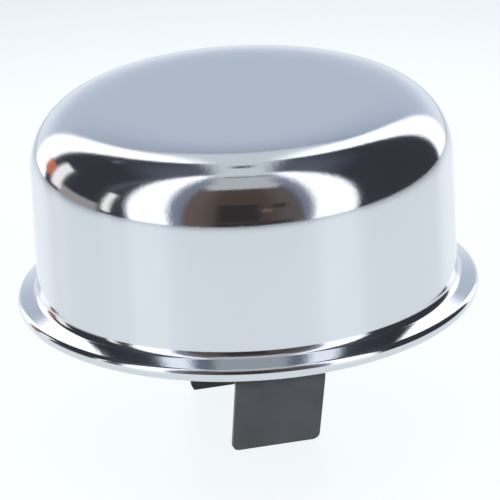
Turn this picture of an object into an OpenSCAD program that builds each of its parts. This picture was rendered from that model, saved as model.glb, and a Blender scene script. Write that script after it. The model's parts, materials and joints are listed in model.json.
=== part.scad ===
// Push-in crankcase breather filter.
// A drawn round cap stands on a flange whose edge is hemmed round a pressed base plate. A bowed
// spring clip under the plate holds it in the filler neck, and a wound mesh element fills the cap.
// Millimetres, with Z up the axis of the cap and z = 0 at the tips of the clip. The legs of the
// clip stand at -Y and +Y, and the width of the clip runs along X.

/* [Cap shell] */
// Outer diameter of the straight wall
shell_d = 75.2; // [66:0.2:90]
// Width of the flange outside the wall
flange_w = 3.65; // [3:0.05:6]
// Height from the underside of the rim to the crown
cap_h = 37.3; // [30:0.1:50]
// Outer radius of the corner between wall and crown
crown_r = 10.9; // [6:0.1:11]
// Thickness of the shell's sheet
shell_t = 0.7; // [0.5:0.05:0.9]
// Radius of the bend between wall and flange, on its outside
wall_bend_r = 1.0; // [0.5:0.1:1.5]
// Radius of the rim's upper edge
rim_top_r = 0.7; // [0.3:0.05:0.7]
// Radius of the rim's rolled lower edge
rim_under_r = 1.5; // [1:0.1:1.6]
// Width of the flange's edge that is folded under the plate
hem_w = 3.4; // [2.8:0.1:5]

/* [Base plate] */
// Thickness of the base plate
plate_t = 0.9; // [0.7:0.05:1.2]
// Distance from the inside of the hem's roll to the edge of the plate
plate_back = 0.8; // [0.8:0.1:1.2]
// Free play of the plate in the hem
hem_play = 0.1; // [0.05:0.01:0.15]
// Number of vent holes outside the filter element
vent_count = 24; // [12:1:30]
// Diameter of a vent hole
vent_d = 3.6; // [2.5:0.1:3.9]
// Number of breathing holes on each side of the clip
breath_count = 3; // [1:1:3]
// Diameter of a breathing hole
breath_d = 4.5; // [3:0.1:5]
// Metal left between two breathing holes
breath_land = 1.5; // [1:0.1:2]

/* [Filler neck and gasket] */
// Bore of the filler neck that the cap is pushed into
neck_bore = 38.1; // [37:0.1:40]
// Distance from the neck's bore to the inner edge of the gasket
gasket_inset = 0.5; // [0.3:0.1:1]
// Width of the gasket's ring
gasket_w = 5.4; // [4:0.1:5.6]
// Thickness of the gasket
gasket_t = 2.0; // [1.5:0.1:2.5]
// Depth of the channel that holds the gasket
channel_depth = 1.1; // [0.8:0.05:1.3]
// Side clearance of the gasket in its channel
channel_play = 0.4; // [0.2:0.05:0.6]

/* [Spring clip] */
// Width of the strip at the bridge
strip_w = 16.6; // [12:0.1:18]
// Width of the strip at its tips
tip_w = 16.0; // [11:0.1:18]
// Thickness of the strip
strip_t = 0.9; // [0.6:0.05:1.1]
// Distance across the outsides of the two tips
tip_spread = 29.7; // [26:0.1:32]
// Depth of the tips below the underside of the rim
tip_drop = 23.2; // [20:0.1:30]
// Depth at which the legs start to flare out, below the underside of the rim
waist_drop = 3.0; // [2.8:0.1:4]
// Radius of that bend, at the middle of the strip
waist_r = 1.5; // [1:0.1:2]
// Depth of the knees below the underside of the rim
knee_drop = 8.0; // [7:0.1:11]
// How far the corners of the knees stand out past the neck's bore before they are pushed in
knee_grip = 3.6; // [1:0.1:4]
// Clearance between the shoulders' corners and the neck's bore
shoulder_play = 0.35; // [0.2:0.05:0.6]
// Radius of the knee, at the middle of the strip
knee_r = 2.4; // [1.8:0.1:3]
// Radius of the shoulder, at the middle of the strip
shoulder_r = 1.8; // [1.2:0.1:2.4]
// Radius of the rounded corners of the tips
tip_corner_r = 1.3; // [0.8:0.1:3]

/* [Rivet and baffle] */
// Diameter of the rivet's shank
rivet_d = 4.0; // [3:0.1:5]
// Clearance round the shank in every hole that it passes
rivet_play = 0.1; // [0.05:0.01:0.2]
// Diameter of the rivet's head
head_d = 8.0; // [7:0.1:9]
// Height of the rivet's head
head_h = 1.6; // [1:0.1:2]
// Diameter of the closed end above the baffle
upset_d = 6.4; // [6:0.1:8]
// Height of the closed end
upset_h = 1.2; // [0.8:0.1:2]
// Diameter of the washer
washer_d = 11.0; // [10:0.1:14]
// Thickness of the washer
washer_t = 0.8; // [0.5:0.1:1.2]
// Outer diameter of the spacer sleeve
spacer_d = 6.4; // [6:0.1:8]
// Height of the spacer sleeve
spacer_h = 7.0; // [5:0.1:10]
// Thickness of the baffle's sheet
baffle_t = 0.6; // [0.4:0.05:0.8]
// Diameter of the flat middle of the baffle
baffle_flat_d = 18.0; // [14:0.1:20]
// Drop of the baffle's slanted edge
baffle_drop = 2.5; // [1:0.1:4]
// Free width round the edge of the baffle
baffle_gap = 3.1; // [2:0.1:4]

/* [Filter element] */
// Thickness of the core tube's sheet
core_t = 0.5; // [0.4:0.05:0.8]
// Clearance between the core tube and the foot of the gasket channel
core_play = 1.1; // [0.5:0.1:1.5]
// Diameter of the holes in the core tube
core_hole_d = 4.0; // [3:0.1:4.5]
// Number of holes round the core tube
core_hole_count = 12; // [6:2:14]
// Height from one row of holes to the next
core_row_step = 5.6; // [5:0.1:8]
// Thickness of the crimped mesh strip
mesh_t = 1.5; // [1:0.05:2]
// Free space between two turns of the strip
wind_gap = 0.25; // [0.2:0.05:0.4]
// Height of the crimps, from the middle of the strip
crimp_h = 0.35; // [0.1:0.05:0.5]
// Number of crimps in one turn
crimp_count = 24; // [12:1:30]
// Free height above the wound strip
roll_play = 0.2; // [0.1:0.05:0.5]
// Thickness of the end cap's sheet
end_t = 0.5; // [0.4:0.05:0.8]
// Depth of the end cap's turned-down edge
end_lip = 3.0; // [2:0.1:5]
// Radius of the end cap's corner
end_r = 1.2; // [1:0.1:1.8]
// Clearance of the end cap round the strip and under the crown
end_play = 0.3; // [0.2:0.05:0.4]
// Least width of the air passage between the element and the wall
passage_w = 7.0; // [5:0.1:9]

/* [Hidden] */
$fn = 128;
through = 1;

// Levels up the axis
rim_z = tip_drop;
rim_h = 2 * shell_t + plate_t + hem_play;
plate_z = rim_z + shell_t;
plate_top_z = plate_z + plate_t;
channel_top_z = plate_top_z + channel_depth;
crown_in_z = rim_z + cap_h - shell_t;
baffle_z = plate_top_z + spacer_h;
bridge_z = plate_z - strip_t;
washer_z = bridge_z - washer_t;

// Radii
shell_r = shell_d / 2;
flange_r = shell_r + flange_w;
plate_r = flange_r - shell_t - plate_back;
hem_in_r = flange_r - hem_w;
neck_r = neck_bore / 2;
gasket_in_r = neck_r + gasket_inset;
gasket_out_r = gasket_in_r + gasket_w;
channel_in_r = gasket_in_r - channel_play;
channel_out_r = gasket_out_r + channel_play;
core_r = channel_in_r - channel_depth - core_play;
core_in_r = core_r - core_t;
shank_hole_r = rivet_d / 2 + rivet_play;
breath_ring_r = (strip_w / 2 + core_in_r) / 2;
breath_step = 2 * asin((breath_d + breath_land) / 2 / breath_ring_r);

// The wound strip starts on the core tube and leaves the air passage free outside it
wind_start_r = core_r + wind_gap + crimp_h;
wind_pitch = mesh_t + wind_gap;
wind_room = shell_r - shell_t - passage_w - end_t - end_play - crimp_h - mesh_t - wind_start_r;
wind_turns = floor(wind_room / wind_pitch);
wind_points = 6 * crimp_count;
roll_r = wind_start_r + wind_turns * wind_pitch + mesh_t + crimp_h;
end_r_out = roll_r + end_play + end_t;

// The end cap stays clear of the crown and of the corner that curves down outside it
corner_in_r = crown_r - shell_t;
corner_over = max(end_r_out + end_play - (shell_r - crown_r), 0);
corner_dip = corner_in_r - sqrt(pow(corner_in_r, 2) - pow(corner_over, 2));
end_z = crown_in_z - end_play - corner_dip - end_t;

vent_ring_r = (max(end_r_out, channel_out_r + channel_depth) + hem_in_r) / 2;

// The clip's middle line, from the front tip to the middle of the bridge
knee_out = sqrt(pow(neck_r + knee_grip, 2) - pow(strip_w / 2, 2));
shoulder_out = sqrt(pow(neck_r - shoulder_play, 2) - pow(strip_w / 2, 2));
knee_z = tip_drop - knee_drop;
lean = atan((knee_out - tip_spread / 2) / knee_z);
tip_mid = [-tip_spread / 2 + strip_t / 2 * cos(lean), strip_t / 2 * sin(lean)];
knee_mid = [tip_mid[0] - (knee_z - tip_mid[1]) * tan(lean), knee_z];
shoulder_mid = [-shoulder_out + strip_t / 2, bridge_z + strip_t / 2];
waist_mid = [shoulder_mid[0], tip_drop - waist_drop];
clip_path = [
    [tip_mid, 0],
    [knee_mid, knee_r],
    [waist_mid, waist_r],
    [shoulder_mid, shoulder_r],
    [mirrored(shoulder_mid), shoulder_r],
    [mirrored(waist_mid), waist_r],
    [mirrored(knee_mid), knee_r],
    [mirrored(tip_mid), 0]
];

// Bent strips: a path is a list of [corner, bend radius], and side is the distance of one face
// from the middle line, to the left of the way along the path
function mirrored(p) = [-p[0], p[1]];
function way(a, b) = (b - a) / norm(b - a);
function left(d) = [-d[1], d[0]];
function turned(v, a) = [v[0] * cos(a) - v[1] * sin(a), v[0] * sin(a) + v[1] * cos(a)];
function reversed(list) = [for (i = [len(list) - 1:-1:0]) list[i]];
function bend(before, corner, after, radius, side, steps = 10) =
    let (
        way_in = way(before, corner),
        way_out = way(corner, after),
        angle = atan2(cross(way_in, way_out), way_in * way_out),
        start = corner - way_in * radius * tan(abs(angle) / 2),
        centre = start + left(way_in) * radius * sign(angle),
        arm = left(way_in) * (side - radius * sign(angle))
    )
    [for (k = [0:steps]) centre + turned(arm, angle * k / steps)];
function strip_face(path, side) =
    let (last = len(path) - 1)
    concat(
        [path[0][0] + left(way(path[0][0], path[1][0])) * side],
        [for (i = [1:last - 1])
            each bend(path[i - 1][0], path[i][0], path[i + 1][0], path[i][1], side)],
        [path[last][0] + left(way(path[last - 1][0], path[last][0])) * side]
    );

// Radius of the wound strip's inner face at an angle from the start, with its crimps
function wound(angle) =
    wind_start_r + wind_pitch * angle / 360 + crimp_h * sin(angle * crimp_count);
function wound_face(out) =
    [for (k = [0:wind_turns * wind_points])
        let (angle = 360 * k / wind_points)
        (wound(angle) + out) * [cos(angle), sin(angle)]];

// A quarter of a disc in the corner between +X and +Y
module quarter_disc(r) {
    intersection() {
        circle(r);
        square(2 * r);
    }
}

// Half section of a drum from its foot at y = 0, with its upper corner rounded
module drum_section(r, h, corner) {
    square([r - corner, h]);
    square([r, h - corner]);
    translate([r - corner, h - corner]) quarter_disc(corner);
}

// The fillet that fills the corner between +X and +Y
module fillet(r) {
    difference() {
        square(r);
        translate([r, r]) circle(r);
    }
}

// Half section of the rim's disc from y = 0, with its own radius on the upper and the lower edge
module rim_section(r, h, top_r, under_r) {
    inset = max(top_r, under_r);
    square([r - inset, h]);
    translate([0, under_r]) square([r, h - top_r - under_r]);
    translate([r - under_r, under_r]) mirror([0, 1]) quarter_disc(under_r);
    translate([r - top_r, h - top_r]) quarter_disc(top_r);
    translate([0, h - top_r]) square([r - top_r, top_r]);
}

// A sheet of one thickness turned about the axis, from the points of its underside
module turned_sheet(under, t) {
    rotate_extrude() polygon(concat(under, reversed([for (p = under) p + [0, t]])));
}

// A ring between two radii
module ring(r_out, r_in, h) {
    difference() {
        cylinder(r = r_out, h = h);
        translate([0, 0, -through]) cylinder(r = r_in, h = h + 2 * through);
    }
}

// The room that the folded edge leaves round the plate
module hem_room() {
    roll_in_r = rim_under_r - shell_t;
    room_r = flange_r - shell_t;
    translate([0, shell_t]) square([room_r - roll_in_r, plate_t + hem_play]);
    translate([0, shell_t + roll_in_r]) square([room_r, plate_t + hem_play - roll_in_r]);
    translate([room_r - roll_in_r, shell_t + roll_in_r]) mirror([0, 1]) quarter_disc(roll_in_r);
}

// The drawn cap: crown, wall and flange in one sheet, with the flange's edge folded under
module cap_shell() {
    color([0.82, 0.86, 0.92]) translate([0, 0, rim_z]) rotate_extrude() difference() {
        union() {
            drum_section(shell_r, cap_h, crown_r);
            rim_section(flange_r, rim_h, rim_top_r, rim_under_r);
            translate([shell_r, rim_h]) fillet(wall_bend_r);
        }
        drum_section(shell_r - shell_t, cap_h - shell_t, crown_r - shell_t);
        hem_room();
        translate([shell_r - shell_t, rim_h - shell_t]) fillet(wall_bend_r + shell_t);
        square([hem_in_r, rim_h - shell_t]);
    }
}

// The pressed plate, with the gasket's channel raised into it and its rows of holes
module base_plate() {
    section = [
        [0, 0],
        [channel_in_r - channel_depth, 0],
        [channel_in_r, channel_depth],
        [channel_out_r, channel_depth],
        [channel_out_r + channel_depth, 0],
        [plate_r, 0]
    ];
    color([0.62, 0.63, 0.62]) translate([0, 0, plate_z]) difference() {
        turned_sheet(section, plate_t);
        translate([0, 0, -through]) {
            cylinder(r = shank_hole_r, h = plate_t + 2 * through);
            for (side = [0, 180], k = [0:breath_count - 1])
                rotate(side + (k - (breath_count - 1) / 2) * breath_step)
                    translate([breath_ring_r, 0, 0])
                        cylinder(d = breath_d, h = plate_t + 2 * through);
            for (k = [0:vent_count - 1])
                rotate(360 * k / vent_count)
                    translate([vent_ring_r, 0, 0])
                        cylinder(d = vent_d, h = plate_t + 2 * through);
        }
    }
}

// The ring in the plate's channel that seals on the lip of the filler neck
module tube_gasket() {
    color([0.45, 0.33, 0.22]) translate([0, 0, plate_z + channel_depth - gasket_t])
        ring(gasket_out_r, gasket_in_r, gasket_t);
}

// Front view of the clip: it narrows towards the tips, whose corners are rounded
module clip_outline() {
    top = [strip_w / 2, plate_z];
    tip = [tip_w / 2, 0];
    polygon(concat(
        [top],
        bend(top, tip, mirrored(tip), tip_corner_r, 0),
        bend(tip, mirrored(tip), mirrored(top), tip_corner_r, 0),
        [mirrored(top)]
    ));
}

// The one-piece clip: bridge, shoulders, knees and legs bent from a strip of spring steel
module clip_blank() {
    rotate([90, 0, 90]) translate([0, 0, -strip_w / 2]) linear_extrude(strip_w)
        polygon(concat(
            strip_face(clip_path, strip_t / 2),
            reversed(strip_face(clip_path, -strip_t / 2))
        ));
}

module spring_clip() {
    color([0.30, 0.31, 0.33]) difference() {
        intersection() {
            clip_blank();
            rotate([90, 0, 0]) translate([0, 0, -neck_bore]) linear_extrude(2 * neck_bore)
                clip_outline();
        }
        translate([0, 0, bridge_z - through])
            cylinder(r = shank_hole_r, h = strip_t + 2 * through);
    }
}

module clip_washer() {
    color([0.70, 0.71, 0.72]) translate([0, 0, washer_z])
        ring(washer_d / 2, shank_hole_r, washer_t);
}

// Round head below the washer, shank up the axis and closed end above the baffle
module clip_rivet() {
    ball_r = (pow(head_d / 2, 2) + pow(head_h, 2)) / (2 * head_h);
    baffle_top_z = baffle_z + baffle_t;
    color([0.72, 0.72, 0.74]) {
        intersection() {
            translate([0, 0, washer_z - head_h + ball_r]) sphere(ball_r);
            translate([0, 0, washer_z - head_h - through])
                cylinder(d = head_d + 2 * through, h = head_h + through);
        }
        translate([0, 0, washer_z - head_h / 2])
            cylinder(d = rivet_d, h = baffle_top_z + upset_h / 2 - washer_z + head_h / 2);
        translate([0, 0, baffle_top_z]) cylinder(d = upset_d, h = upset_h);
    }
}

module baffle_spacer() {
    color([0.66, 0.66, 0.64]) translate([0, 0, plate_top_z])
        ring(spacer_d / 2, shank_hole_r, spacer_h);
}

// The dished plate that turns thrown oil back down the neck
module splash_baffle() {
    section = [
        [shank_hole_r, 0],
        [baffle_flat_d / 2, 0],
        [core_in_r - baffle_gap, -baffle_drop]
    ];
    color([0.66, 0.66, 0.64]) translate([0, 0, baffle_z]) turned_sheet(section, baffle_t);
}

// The perforated tube that carries the wound strip
module core_tube() {
    tube_h = end_z - plate_top_z;
    rows = floor((tube_h - core_hole_d) / core_row_step);
    first_z = (tube_h - (rows - 1) * core_row_step) / 2;
    color([0.70, 0.70, 0.68]) translate([0, 0, plate_top_z]) difference() {
        ring(core_r, core_in_r, tube_h);
        for (row = [0:rows - 1], k = [0:core_hole_count - 1])
            translate([0, 0, first_z + row * core_row_step])
                rotate(360 * (k + (row % 2 + 0.5) / 2) / core_hole_count)
                    translate([core_in_r - through, 0, 0])
                        rotate([0, 90, 0]) cylinder(d = core_hole_d, h = core_t + 2 * through);
    }
}

// Crimped knitted mesh, wound in a spiral on the core tube
module filter_roll() {
    color([0.55, 0.56, 0.56]) translate([0, 0, channel_top_z])
        linear_extrude(end_z - roll_play - channel_top_z)
            polygon(concat(wound_face(mesh_t), reversed(wound_face(0))));
}

// The pressed plate that closes the element's top and grips the wound strip's edge
module end_cap() {
    color([0.68, 0.68, 0.66]) translate([0, 0, end_z - end_lip]) rotate_extrude() difference() {
        drum_section(end_r_out, end_lip + end_t, end_r);
        drum_section(end_r_out - end_t, end_lip, end_r - end_t);
    }
}

cap_shell();
base_plate();
tube_gasket();
spring_clip();
clip_washer();
clip_rivet();
baffle_spacer();
splash_baffle();
core_tube();
filter_roll();
end_cap();
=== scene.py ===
import bpy
import bmesh
import json
import math
from mathutils import Matrix, Vector


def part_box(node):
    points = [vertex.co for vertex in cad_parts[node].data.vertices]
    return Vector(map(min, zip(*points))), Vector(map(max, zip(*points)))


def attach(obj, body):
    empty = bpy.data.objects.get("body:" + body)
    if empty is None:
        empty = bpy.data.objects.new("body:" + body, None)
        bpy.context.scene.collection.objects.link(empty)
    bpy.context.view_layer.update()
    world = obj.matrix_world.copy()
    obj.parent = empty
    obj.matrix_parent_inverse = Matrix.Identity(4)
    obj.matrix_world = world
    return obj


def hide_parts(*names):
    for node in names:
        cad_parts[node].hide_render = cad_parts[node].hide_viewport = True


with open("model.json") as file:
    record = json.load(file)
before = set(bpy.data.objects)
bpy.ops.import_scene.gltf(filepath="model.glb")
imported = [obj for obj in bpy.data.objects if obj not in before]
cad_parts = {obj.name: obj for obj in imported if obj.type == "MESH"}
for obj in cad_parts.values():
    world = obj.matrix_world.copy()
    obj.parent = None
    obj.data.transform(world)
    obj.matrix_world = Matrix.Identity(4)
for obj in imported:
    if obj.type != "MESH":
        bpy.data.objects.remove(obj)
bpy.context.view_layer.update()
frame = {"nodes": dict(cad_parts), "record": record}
nodes = frame["nodes"]
print("frame loaded:", len(nodes), "nodes")

mm = 0.001
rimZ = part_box("cap_shell")[0].z          # underside of the rim
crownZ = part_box("cap_shell")[1].z
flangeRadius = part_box("cap_shell")[1].x


# Camera

camera = {
    "lens": 432.0,
    "sensor": 36.0,           # mm across
    "distance": 1074.3 * mm,  # to the middle of the rim's underside
    "elevation": 21.89,       # degrees above the horizon
    "clipYaw": 13.7,          # degrees that the clip is turned from the camera
    "roll": -2.965,           # degrees, the flange's right side sits higher
    "aimPixel": (-1.40, 44.86),  # where the rim's middle falls, from the picture's middle
    "pictureWidth": 500,
}


def makeCamera(c):
    yaw, elevation, roll = (math.radians(c[k]) for k in ("clipYaw", "elevation", "roll"))
    right = Vector((math.cos(yaw), -math.sin(yaw), 0))
    level = Vector((math.sin(yaw), math.cos(yaw), 0))
    ahead = level * math.cos(elevation) - Vector((0, 0, math.sin(elevation)))
    up = right.cross(ahead)
    place = Vector((0, 0, rimZ)) - ahead * c["distance"]
    imageRight = right * math.cos(roll) + up * math.sin(roll)
    imageUp = up * math.cos(roll) - right * math.sin(roll)
    focal = c["lens"] / c["sensor"] * c["pictureWidth"]
    across, down = c["aimPixel"]
    aim = (ahead * focal - imageRight * across + imageUp * down).normalized()
    imageRight = (imageRight - aim * imageRight.dot(aim)).normalized()
    imageUp = imageRight.cross(aim)
    data = bpy.data.cameras.new("camera")
    data.lens, data.sensor_width = c["lens"], c["sensor"]
    data.clip_start, data.clip_end = 0.01, 50
    obj = bpy.data.objects.new("camera", data)
    turn = Matrix((imageRight, imageUp, -aim)).transposed().to_4x4()
    obj.matrix_world = Matrix.Translation(place) @ turn
    bpy.context.scene.collection.objects.link(obj)
    bpy.context.scene.camera = obj


makeCamera(camera)
print("camera placed")


# Node helpers, shared by the finishes and the studio

class Tree:
    # wires up shader nodes with short calls
    def __init__(self, owner):
        owner.use_nodes = True
        self.tree = owner.node_tree
        self.tree.nodes.clear()

    def add(self, kind, inputs=None, **settings):
        node = self.tree.nodes.new(kind)
        for name, value in settings.items():
            setattr(node, name, value)
        for name, value in (inputs or {}).items():
            self.plug(node, name, value)
        return node

    def plug(self, node, name, value):
        socket = node.inputs[name]
        if isinstance(value, bpy.types.NodeSocket):
            self.tree.links.new(value, socket)
        else:
            socket.default_value = value

    def math(self, operation, a, b=0.0, c=0.0):
        return self.add("ShaderNodeMath", {0: a, 1: b, 2: c}, operation=operation).outputs[0]

    def over(self, value, edge, soft):
        # 0 below the edge, 1 above it
        return self.add("ShaderNodeMapRange", {0: value, 1: edge - soft, 2: edge + soft},
                        interpolation_type="SMOOTHSTEP").outputs[0]

    def between(self, value, low, high, soft):
        return self.math("SUBTRACT", self.over(value, low, soft), self.over(value, high, soft))

    def both(self, a, b):
        return self.math("MULTIPLY", a, b)

    def blend(self, factor, a, b):
        mix = self.tree.nodes.new("ShaderNodeMix")
        mix.data_type = "RGBA"
        for name, value in ((0, factor), (6, a), (7, b)):
            self.plug(mix, name, value)
        return mix.outputs[2]

    def noise(self, place, scale, detail, roughness=0.5):
        return self.add("ShaderNodeTexNoise", {"Vector": place, "Scale": scale, "Detail": detail,
                                               "Roughness": roughness}).outputs[0]

    def ramp(self, value, stops):
        node = self.add("ShaderNodeValToRGB", {0: value})
        node.color_ramp.interpolation = "EASE"
        elements = node.color_ramp.elements
        while len(elements) > 1:
            elements.remove(elements[-1])
        elements[0].position, elements[0].color = stops[0]
        for place, colour in stops[1:]:
            element = elements.new(place)
            element.color = colour
        return node.outputs[0]


def linear(*rgb):
    # picture values from 0 to 255 as a linear colour
    parts = [v / 255 for v in rgb]
    parts = [v / 12.92 if v <= 0.04045 else ((v + 0.055) / 1.055) ** 2.4 for v in parts]
    return (*parts, 1.0)


chromeTint = (0.66, 0.69, 0.73, 1.0)


def seen(*rgb):
    # a thing in the studio, from the colour that it has in the chrome
    return tuple(v / t for v, t in zip(linear(*rgb), chromeTint))


# Studio: a round table in a light tent with white strips, dark sides and a front opening.
# Azimuths are degrees from the camera's side, positive to the right. Each edge has its softness.

darkCamera = seen(45, 43, 46)

studio = {
    "turn": camera["clipYaw"],
    "background": (1.0, 1.0, 1.0, 1.0),
    # back wall by height, where 1 is straight up
    "back": [(0.0, seen(203, 212, 225)), (0.22, seen(169, 180, 198)), (0.42, seen(150, 162, 180))],
    "strip": (1.62, 1.62, 1.66, 1.0),
    "stripArch": (31.0, 40.0, 0.16),    # width, height, softness
    "side": [(0.55, seen(50, 52, 60)), (0.8, seen(80, 85, 98))],
    "sideArch": (48.5, 59.0, 0.09),
    "archPower": 2.5,
    # the table's end, two pale posts and a red box at the left: azimuths, elevations, softness
    "leftThings": [
        ((-116, -84), (-12, 3), 1.5, seen(143, 141, 143)),
        ((-84, -80), (24, 60), 5, seen(88, 90, 102)),
        ((-123.5, -114), (-4, 23), 1.3, seen(236, 235, 236)),
        ((-81, -75.5), (-4, 24), 1.3, seen(236, 236, 236)),
        ((-133.5, -124.5), (0, 12), 1.3, seen(186, 102, 78)),
    ],
    "wire": {"slope": -0.14, "height": 31.6, "half": 0.5, "azimuths": (-137, -128, 0.6),
             "strength": 0.5, "colour": seen(190, 192, 196)},
    # upright edges: angle from straight across, and lean towards the ceiling
    "leftEdges": {"outer": (-64.5, -0.13), "inner": (-39.5, -0.10), "opening": (-32.5, -0.02)},
    "rightEdges": {"outer": (62.0, 0.13), "inner": (36.0, 0.10), "opening": (31.0, 0.02)},
    "edgeSoft": {"outer": 0.045, "inner": 0.06, "opening": 0.035},
    "edge": seen(112, 119, 136),
    "stripsFrom": (-0.05, 0.06),        # how far to the front the strips begin
    "openingFrom": (0.2, 0.05),
    "openingTop": (61.5, 1.5),
    "panelSpan": 90.0,                  # degrees across the panel in the opening
    "panel": [(0.17, seen(93, 82, 78)), (0.38, seen(71, 62, 58)), (0.6, seen(71, 62, 58)),
              (0.8, seen(86, 80, 80))],
    # the camera and its stand in front of the panel
    "cameraThings": [
        ((-14.5, 8.5), (1, 32), 2.0, darkCamera),
        ((-16, 24), (-12, -1), 2.0, darkCamera),
        ((16, 24), (22, 29), 1.5, darkCamera),
        ((10, 14), (17, 22), 1.2, seen(120, 106, 98)),
    ],
    "cameraStrength": 0.92,
    # ceiling, from the back to the front opening: its half width grows with the square
    "ceilingWidth": (0.11, 0.15, 0.15),
    "ceilingSoft": 0.055,
    "ceilingFrom": (36.5, 2.0),
    "ceilingEnd": (0.47, 0.02),
    "ceilingJoin": (0.03, 0.03),
    "ceilingFront": seen(166, 174, 180),
    "ceilingBack": seen(188, 196, 204),
    # a seam and a peephole: how far front, how far aside
    "ceilingMarks": [
        ((0.045, 0.085, 0.014), (-0.1, 0.17, 0.03), seen(104, 110, 118)),
        ((-0.385, -0.285, 0.03), (-0.03, 0.034, 0.018), seen(62, 62, 66)),
    ],
    "backSeam": {"elevations": (35.2, 36.6, 0.7), "behind": (0.5, 0.05), "aside": (0.17, 0.05),
                 "strength": 0.8, "colour": seen(122, 134, 150)},
}


def makeStudio(s):
    world = bpy.data.worlds.new("studio")
    bpy.context.scene.world = world
    t = Tree(world)
    direction = t.add("ShaderNodeTexCoord").outputs["Generated"]
    turned = t.add("ShaderNodeVectorRotate",
                   {"Vector": direction, "Angle": math.radians(s["turn"])},
                   rotation_type="Z_AXIS").outputs[0]
    x, y, z = t.add("ShaderNodeSeparateXYZ", {0: turned}).outputs
    front = t.math("MULTIPLY", y, -1.0)
    azimuth = t.math("DEGREES", t.math("ARCTAN2", x, front))
    elevation = t.math("DEGREES", t.math("ARCSINE", z))
    across = t.math("ABSOLUTE", x)
    fromBack = t.math("SUBTRACT", 180.0, t.math("ABSOLUTE", azimuth))

    def outside(mask):
        return t.math("SUBTRACT", 1.0, mask)

    def pastEdge(angle, lean, soft):
        # 1 past an upright edge that leans out towards the ceiling
        a = math.radians(angle)
        plane = (math.cos(a), math.sin(a), -lean)
        side = t.add("ShaderNodeVectorMath", {0: turned, 1: plane}, operation="DOT_PRODUCT")
        return t.over(side.outputs["Value"], 0, soft)

    def arch(wide, tall, soft):
        # an arch round the back of the tent, 1 inside it
        a = t.math("POWER", t.math("DIVIDE", fromBack, wide), s["archPower"])
        upward = t.math("MAXIMUM", elevation, 0.0)
        b = t.math("POWER", t.math("DIVIDE", upward, tall), s["archPower"])
        return outside(t.over(t.math("ADD", a, b), 1.0, soft))

    def patch(azimuths, elevations, soft):
        return t.both(t.between(azimuth, *azimuths, soft), t.between(elevation, *elevations, soft))

    # back wall, the white strips that arch round it, and the dark sides outside them
    height = t.math("DIVIDE", elevation, 90.0)
    colour = t.blend(arch(*s["stripArch"]), s["strip"], t.ramp(height, s["back"]))
    colour = t.blend(arch(*s["sideArch"]), t.ramp(height, s["side"]), colour)
    for azimuths, elevations, soft, tint in s["leftThings"]:
        colour = t.blend(patch(azimuths, elevations, soft), colour, tint)
    wire = s["wire"]
    line = t.math("MULTIPLY_ADD", azimuth, wire["slope"], wire["height"])
    thin = t.between(t.math("SUBTRACT", elevation, line), -wire["half"], wire["half"], wire["half"])
    thin = t.both(thin, t.between(azimuth, *wire["azimuths"]))
    colour = t.blend(t.both(thin, wire["strength"]), colour, wire["colour"])

    # front strips with their grey edges, and the opening between them
    ahead = t.over(front, *s["stripsFrom"])
    mouths = []
    for sign, edges in ((1, s["leftEdges"]), (-1, s["rightEdges"])):
        outer, inner, mouth = (pastEdge(*edges[k], s["edgeSoft"][k])
                               for k in ("outer", "inner", "opening"))
        inStrip = t.both(t.math("SUBTRACT", outer, inner), sign)
        inEdge = t.both(t.math("SUBTRACT", inner, mouth), sign)
        colour = t.blend(t.both(inStrip, ahead), colour, s["strip"])
        colour = t.blend(t.both(inEdge, ahead), colour, s["edge"])
        mouths.append(mouth)
    opening = t.both(mouths[0], outside(mouths[1]))
    opening = t.both(opening, t.over(front, *s["openingFrom"]))
    panel = t.ramp(t.math("MULTIPLY_ADD", azimuth, 1 / s["panelSpan"], 0.5), s["panel"])
    for azimuths, elevations, soft, tint in s["cameraThings"]:
        mask = t.both(patch(azimuths, elevations, soft), s["cameraStrength"])
        panel = t.blend(mask, panel, tint)
    colour = t.blend(opening, colour, panel)

    # ceiling
    a, b, c = s["ceilingWidth"]
    wide = t.math("MULTIPLY_ADD", t.math("MULTIPLY_ADD", front, a, b), front, c)
    overhead = outside(t.over(t.math("SUBTRACT", across, wide), 0.0, s["ceilingSoft"]))
    overhead = t.both(overhead, t.over(elevation, *s["ceilingFrom"]))
    overhead = t.both(overhead, outside(t.over(front, *s["ceilingEnd"])))
    overFront = t.both(opening, t.over(elevation, *s["openingTop"]))
    overhead = t.math("MAXIMUM", overhead, overFront)
    ceiling = t.blend(t.over(front, *s["ceilingJoin"]), s["ceilingBack"], s["ceilingFront"])
    for ahead, aside, tint in s["ceilingMarks"]:
        mask = t.both(t.between(front, *ahead), t.between(x, *aside))
        ceiling = t.blend(mask, ceiling, tint)
    colour = t.blend(overhead, colour, ceiling)
    seam = s["backSeam"]
    mask = t.both(t.between(elevation, *seam["elevations"]), t.over(y, *seam["behind"]))
    mask = t.both(mask, outside(t.over(across, *seam["aside"])))
    colour = t.blend(t.both(mask, seam["strength"]), colour, seam["colour"])

    glow = t.add("ShaderNodeBackground", {"Color": colour})
    plain = t.add("ShaderNodeBackground", {"Color": s["background"]})
    shown = t.add("ShaderNodeLightPath").outputs["Is Camera Ray"]
    mix = t.add("ShaderNodeMixShader", {0: shown, 1: glow.outputs[0], 2: plain.outputs[0]})
    t.add("ShaderNodeOutputWorld", {"Surface": mix.outputs[0]})


table = {
    "radius": 420 * mm,
    "sides": 96,
    "base": (0.10, 0.10, 0.105, 1.0),
    "roughness": 0.35,
    "specular": 0.2,
    # painted light: the table glows by itself, even over the middle and darker towards the edge as
    # a painted falloff of light, from the middle to the edge
    "glow": [(0.12, (0.885, 0.925, 0.945, 1.0)), (0.3, (0.885, 0.925, 0.945, 1.0)),
             (1.0, (0.36, 0.38, 0.41, 1.0))],
    "glowStrength": 0.97,
}


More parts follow.
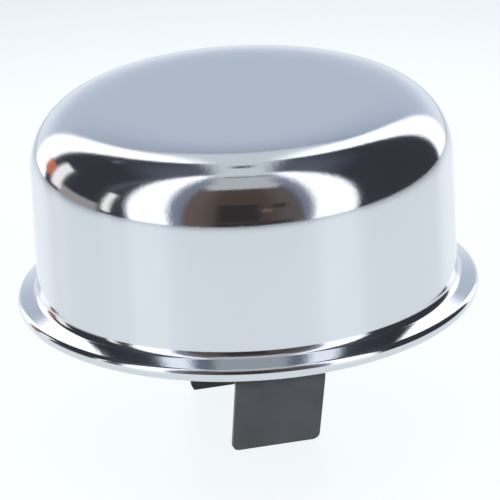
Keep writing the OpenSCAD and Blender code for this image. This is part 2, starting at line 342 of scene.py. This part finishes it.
def makeTable(s):
    bm = bmesh.new()
    bmesh.ops.create_circle(bm, cap_ends=True, radius=s["radius"], segments=s["sides"])
    mesh = bpy.data.meshes.new("table")
    bm.to_mesh(mesh)
    bm.free()
    top = bpy.data.objects.new("table", mesh)
    bpy.context.scene.collection.objects.link(top)
    paint = bpy.data.materials.new("table")
    t = Tree(paint)
    place = t.add("ShaderNodeTexCoord").outputs["Object"]
    out = t.add("ShaderNodeVectorMath", {0: place}, operation="LENGTH").outputs["Value"]
    # the table's paleness is painted light: its glow, fading towards the edge, stands in for lamp
    # light on a dark base
    surface = t.add("ShaderNodeBsdfPrincipled", {
        "Base Color": s["base"], "Roughness": s["roughness"], "Specular IOR Level": s["specular"],
        "Emission Color": t.ramp(t.math("DIVIDE", out, s["radius"]), s["glow"]),
        "Emission Strength": s["glowStrength"],
    })
    t.add("ShaderNodeOutputMaterial", {"Surface": surface.outputs[0]})
    mesh.materials.append(paint)


topLamp = {"place": (0.0, 0.0, 1.4), "size": 1.6, "power": 6.0}


def makeLamp(name, s):
    data = bpy.data.lights.new(name, "AREA")
    data.shape, data.size, data.energy = "DISK", s["size"], s["power"]
    lamp = bpy.data.objects.new(name, data)
    lamp.location = s["place"]
    lamp.rotation_euler = (-lamp.location).to_track_quat("-Z", "Y").to_euler()
    lamp.visible_glossy = False
    bpy.context.scene.collection.objects.link(lamp)


makeStudio(studio)
makeTable(table)
makeLamp("top", topLamp)
bpy.context.scene.view_settings.view_transform = "Standard"
print("studio built")


# Finishes, with texture scales in repeats per metre

def newFinish(name):
    material = bpy.data.materials.new(name)
    t = Tree(material)
    return material, t, t.add("ShaderNodeTexCoord").outputs["Object"]


def closeFinish(t, inputs):
    surface = t.add("ShaderNodeBsdfPrincipled", inputs)
    t.add("ShaderNodeOutputMaterial", {"Surface": surface.outputs[0]})


def roughBy(t, value, low, high):
    return t.add("ShaderNodeMapRange", {0: value, 1: 0.3, 2: 0.7, 3: low, 4: high}).outputs[0]


def chromePlate():
    c = {
        "roughness": 0.095,
        "roughnessSpread": 0.2,
        "peel": 1500.0,         # fine grain of the polish
        "peelDepth": 0.008 * mm,
        "draw": (260.0, 260.0, 16.0),   # marks of the drawing tool, long up the wall
        "drawDepth": 0.006 * mm,
        "wear": 60.0,
    }
    material, t, place = newFinish("chrome plate")
    peel = t.noise(place, c["peel"], 3.0, 0.6)
    fine = t.add("ShaderNodeBump", {"Height": peel, "Distance": c["peelDepth"]})
    stretched = t.add("ShaderNodeMapping", {"Vector": place, "Scale": c["draw"]}).outputs[0]
    bump = t.add("ShaderNodeBump", {"Height": t.noise(stretched, 1.0, 2.0),
                                    "Distance": c["drawDepth"], "Normal": fine.outputs[0]})
    low, high = (c["roughness"] * (1 + k * c["roughnessSpread"]) for k in (-1, 1))
    closeFinish(t, {
        "Base Color": chromeTint, "Metallic": 1.0, "Normal": bump.outputs[0],
        "Roughness": roughBy(t, t.noise(place, c["wear"], 4.0), low, high),
    })
    return material


def blackSpringSteel():
    c = {
        "dark": linear(64, 67, 71),
        "light": linear(76, 79, 83),
        "metallic": 0.35,
        "roughness": 0.42,
        "cloud": 140.0,
        "grain": 2600.0,
        "grainDepth": 0.02 * mm,
    }
    material, t, place = newFinish("blackened spring steel")
    cloud = t.noise(place, c["cloud"], 5.0)
    bump = t.add("ShaderNodeBump", {"Height": t.noise(place, c["grain"], 3.0), "Strength": 0.25,
                                    "Distance": c["grainDepth"]})
    closeFinish(t, {
        "Base Color": t.ramp(cloud, [(0.3, c["dark"]), (0.7, c["light"])]),
        "Metallic": c["metallic"], "Roughness": c["roughness"], "Normal": bump.outputs[0],
    })
    return material


def zincPlate(name, light, dark, roughness):
    c = {
        "spangle": 420.0,
        "spangleShare": 0.25,
        "cloud": 90.0,
        "cloudDepth": 0.03 * mm,
        "roughnessSpread": 0.06,
    }
    material, t, place = newFinish(name)
    spangle = t.add("ShaderNodeTexVoronoi", {"Vector": place, "Scale": c["spangle"]})
    spangle = t.add("ShaderNodeSeparateXYZ", {0: spangle.outputs["Color"]}).outputs[0]
    cloud = t.noise(place, c["cloud"], 4.0)
    grey = t.math("MULTIPLY_ADD", spangle, c["spangleShare"],
                  t.math("MULTIPLY", cloud, 1 - c["spangleShare"]))
    bump = t.add("ShaderNodeBump", {"Height": cloud, "Strength": 0.2, "Distance": c["cloudDepth"]})
    spread = c["roughnessSpread"]
    closeFinish(t, {
        "Base Color": t.ramp(grey, [(0.25, dark), (0.75, light)]), "Metallic": 1.0,
        "Roughness": roughBy(t, cloud, roughness - spread, roughness + spread),
        "Normal": bump.outputs[0],
    })
    return material


def corkRubber():
    c = {
        "dark": linear(82, 56, 36),
        "mid": linear(128, 92, 60),
        "light": linear(168, 128, 88),
        "crumbs": 900.0,
        "crumbDepth": 0.08 * mm,
        "roughness": 0.9,
    }
    material, t, place = newFinish("cork rubber")
    crumbs = t.add("ShaderNodeTexVoronoi", {"Vector": place, "Scale": c["crumbs"]})
    grey = t.add("ShaderNodeSeparateXYZ", {0: crumbs.outputs["Color"]}).outputs[0]
    bump = t.add("ShaderNodeBump", {"Height": grey, "Strength": 0.5, "Distance": c["crumbDepth"]})
    closeFinish(t, {
        "Base Color": t.ramp(grey, [(0.0, c["dark"]), (0.45, c["mid"]), (1.0, c["light"])]),
        "Roughness": c["roughness"], "Normal": bump.outputs[0],
    })
    return material


def knittedWire():
    c = {
        "wire": linear(176, 178, 176),
        # painted shade: dark where the knit is low, between the wire loops
        "gapShade": linear(40, 38, 34),
        "rows": 620.0,
        "columns": 496.0,
        "loopDepth": 0.25 * mm,
        "metallic": 0.9,
        "roughness": 0.38,
    }
    material, t, place = newFinish("knitted wire")
    rows = t.add("ShaderNodeTexWave", {
        "Vector": place, "Scale": c["rows"], "Distortion": 6.0, "Detail": 2.0, "Detail Scale": 2.0,
    }, bands_direction="Z").outputs[1]
    columns = t.add("ShaderNodeTexWave", {
        "Vector": place, "Scale": c["columns"], "Distortion": 7.0, "Detail": 2.0,
    }, bands_direction="DIAGONAL").outputs[1]
    knit = t.math("MAXIMUM", rows, columns)
    bump = t.add("ShaderNodeBump", {"Height": knit, "Strength": 0.9, "Distance": c["loopDepth"]})
    # the ramp paints shade into the low places of the knit and lets the wire's own grey show on the
    # loops
    closeFinish(t, {
        "Base Color": t.ramp(knit, [(0.45, c["gapShade"]), (0.8, c["wire"])]),
        "Metallic": c["metallic"], "Roughness": c["roughness"], "Normal": bump.outputs[0],
    })
    return material


finishes = {
    "chrome_shell": chromePlate(),
    "spring_steel": blackSpringSteel(),
    "plated_steel": zincPlate("zinc plated steel", linear(196, 198, 198),
                              linear(158, 160, 162), 0.34),
    "rivet_steel": zincPlate("bright zinc", linear(214, 215, 216), linear(184, 186, 188), 0.24),
    "gasket_cork": corkRubber(),
    "wire_mesh": knittedWire(),
}
print("finishes made")


# Cap shell: one drawn sheet, turned from its own section with true normals

shell = {
    "wallRadius": 37.6 * mm,
    "cornerRadius": 10.9 * mm,
    "sheet": 0.7 * mm,
    "flatRadius": 17.5 * mm,     # the crown is flat inside this and falls off gently outside it
    "crownFall": 12.0,           # degrees of slope where the crown meets the corner
    "crownEase": 2.5,
    "bendRadius": 1.49 * mm,     # wall to flange, outside
    "bendHeight": 4.79 * mm,     # where the bend leaves the wall
    "flangeFall": 21.7,          # degrees, the flange slopes down to its rim
    "rimRadius": 1.05 * mm,      # flange to the rim's edge
    "rimMiddle": 1.615 * mm,
    "rimUnderRadius": 1.57 * mm,
    "hemWidth": 3.4 * mm,
    "insideBend": 1.7 * mm,
    "insideHeight": 1.7 * mm,    # underside of the flange
    "aroundSteps": 288,
    "crownSteps": 24,
    "cornerSteps": 44,
    "bendSteps": 18,
    "rimSteps": 14,
    "underSteps": 16,
    "hemSteps": 8,
    "insideBendSteps": 10,
    "insideCornerSteps": 24,
    "wallSteps": 10,
    "insideWallSteps": 8,
}


def arc(centre, radius, start, end, steps):
    # points of a section arc with their normals, angles in degrees; a hollow bend has radius < 0
    side = 1 if radius > 0 else -1
    points = []
    for i in range(steps + 1):
        a = math.radians(start + (end - start) * i / steps)
        across, up = math.cos(a), math.sin(a)
        points.append(((centre[0] + abs(radius) * across, centre[1] + abs(radius) * up),
                       (across * side, up * side)))
    return points


def straight(a, b, steps, normal):
    return [((a[0] + (b[0] - a[0]) * i / steps, a[1] + (b[1] - a[1]) * i / steps), normal)
            for i in range(steps + 1)]


def crown(s, wall, corner, top, side):
    # the crown's face from its middle to where the corner's arc takes over
    fall = math.radians(s["crownFall"])
    start = s["flatRadius"]
    end = wall - corner + corner * math.sin(fall)
    height = top - corner * (1 - math.cos(fall))
    points, lastSlope = [], fall
    for i in range(s["crownSteps"], -1, -1):
        part = i / s["crownSteps"]
        slope = fall * part ** s["crownEase"]
        radius = start + (end - start) * part
        if points:
            height += (points[-1][0][0] - radius) * math.tan((slope + lastSlope) / 2)
        points.append(((radius, height), (math.sin(slope) * side, math.cos(slope) * side)))
        lastSlope = slope
    points.append(((0, height), (0, side)))
    return points[::-1]


def shellSection(s):
    # from the crown's middle down the outside, round the hem and back up the inside
    r, t, h = s["wallRadius"], s["sheet"], crownZ - rimZ
    c, bend, start = s["cornerRadius"], s["bendRadius"], s["bendHeight"]
    edge, middle = s["rimRadius"], s["rimMiddle"]
    under, hem = s["rimUnderRadius"], flangeRadius - s["hemWidth"]
    inner, low = s["insideBend"], s["insideHeight"]
    fall, slope = s["crownFall"], s["flangeFall"]
    normal = (math.sin(math.radians(slope)), math.cos(math.radians(slope)))
    foot = (r + bend - bend * normal[0], start - bend * normal[1])
    brink = (flangeRadius - edge + edge * normal[0], middle + edge * normal[1])
    return [
        crown(s, r, c, h, 1),
        arc((r - c, h - c), c, 90 - fall, 0, s["cornerSteps"]),
        straight((r, h - c), (r, start), s["wallSteps"], (1, 0)),
        arc((r + bend, start), -bend, 180, 270 - slope, s["bendSteps"]),
        straight(foot, brink, 4, normal),
        arc((flangeRadius - edge, middle), edge, 90 - slope, 0, s["rimSteps"]),
        straight((flangeRadius, middle), (flangeRadius, under), 1, (1, 0)),
        arc((flangeRadius - under, under), under, 0, -90, s["underSteps"]),
        straight((flangeRadius - under, 0), (hem, 0), 4, (0, -1)),
        straight((hem, 0), (hem, t), 1, (-1, 0)),
        straight((hem, t), (flangeRadius - under, t), 3, (0, 1)),
        arc((flangeRadius - under, under), t - under, 270, 360, s["hemSteps"]),
        straight((flangeRadius - t, under), (flangeRadius - t, low), 1, (-1, 0)),
        straight((flangeRadius - t, low), (r - t + inner, low), 3, (0, -1)),
        arc((r - t + inner, low + inner), inner, 270, 180, s["insideBendSteps"]),
        straight((r - t, low + inner), (r - t, h - c), s["insideWallSteps"], (-1, 0)),
        arc((r - c, h - c), t - c, 0, 90 - fall, s["insideCornerSteps"]),
        crown(s, r - t, c - t, h - t, -1)[::-1],
    ]


def turnShell(s):
    rows = []        # (radius, height, normal, whether it shares the ring before it)
    samePlace, sameNormal = 1e-7, 1e-3
    for piece in shellSection(s):
        for (radius, height), normal in piece:
            same = bool(rows) and math.dist(rows[-1][:2], (radius, height)) < samePlace
            if same and math.dist(rows[-1][2], normal) < sameNormal:
                continue
            rows.append((radius, height, normal, same))
    steps = s["aroundSteps"]
    verts, faces, rings, cornerNormals = [], [], [], []
    for radius, height, normal, shared in rows:
        if shared:
            rings.append(rings[-1])
            continue
        first = len(verts)
        if radius < samePlace:
            verts.append((0, 0, rimZ + height))
            rings.append([first] * steps)
            continue
        for k in range(steps):
            a = 2 * math.pi * k / steps
            verts.append((radius * math.cos(a), radius * math.sin(a), rimZ + height))
        rings.append([first + k for k in range(steps)])
    for i in range(len(rows) - 1):
        if rings[i] is rings[i + 1]:
            continue
        for k in range(steps):
            j = (k + 1) % steps
            corners = [(rings[i][k], i, k), (rings[i + 1][k], i + 1, k),
                       (rings[i + 1][j], i + 1, j), (rings[i][j], i, j)]
            if rings[i][k] == rings[i][j]:
                corners.pop()
            elif rings[i + 1][k] == rings[i + 1][j]:
                corners.pop(2)
            faces.append([c[0] for c in corners])
            for _, row, around in corners:
                a = 2 * math.pi * around / steps
                nr, nz = rows[row][2]
                cornerNormals.append((nr * math.cos(a), nr * math.sin(a), nz))
    mesh = bpy.data.meshes.new("drawn_cap")
    mesh.from_pydata(verts, [], faces)
    mesh.polygons.foreach_set("use_smooth", [True] * len(mesh.polygons))
    mesh.normals_split_custom_set(cornerNormals)
    return mesh


def makeShell(s):
    piece = bpy.data.objects.new("drawn_cap", turnShell(s))
    bpy.context.scene.collection.objects.link(piece)
    piece.data.materials.append(finishes["chrome_shell"])
    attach(piece, "root")
    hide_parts("cap_shell")


makeShell(shell)
print("cap shell turned")


# The other pieces keep their solids, with their finish and small bevels on three of them

slots = {part["node"]: part["material_slot"] for part in frame["record"]["subparts"]}
bevels = {
    "spring_clip": 0.12 * mm,
    "base_plate": 0.05 * mm,
    "clip_washer": 0.1 * mm,
}
sharpFrom = 35  # degrees between faces that get a bevel


def dressNode(name):
    piece = nodes[name]
    piece.data.materials.clear()
    piece.data.materials.append(finishes[slots[name]])
    if name in bevels:
        bevel = piece.modifiers.new("edges", "BEVEL")
        bevel.width, bevel.segments = bevels[name], 2
        bevel.limit_method, bevel.angle_limit = "ANGLE", math.radians(sharpFrom)
        bevel.use_clamp_overlap = True


for name in nodes:
    if name != "cap_shell":
        dressNode(name)
print("pieces dressed")
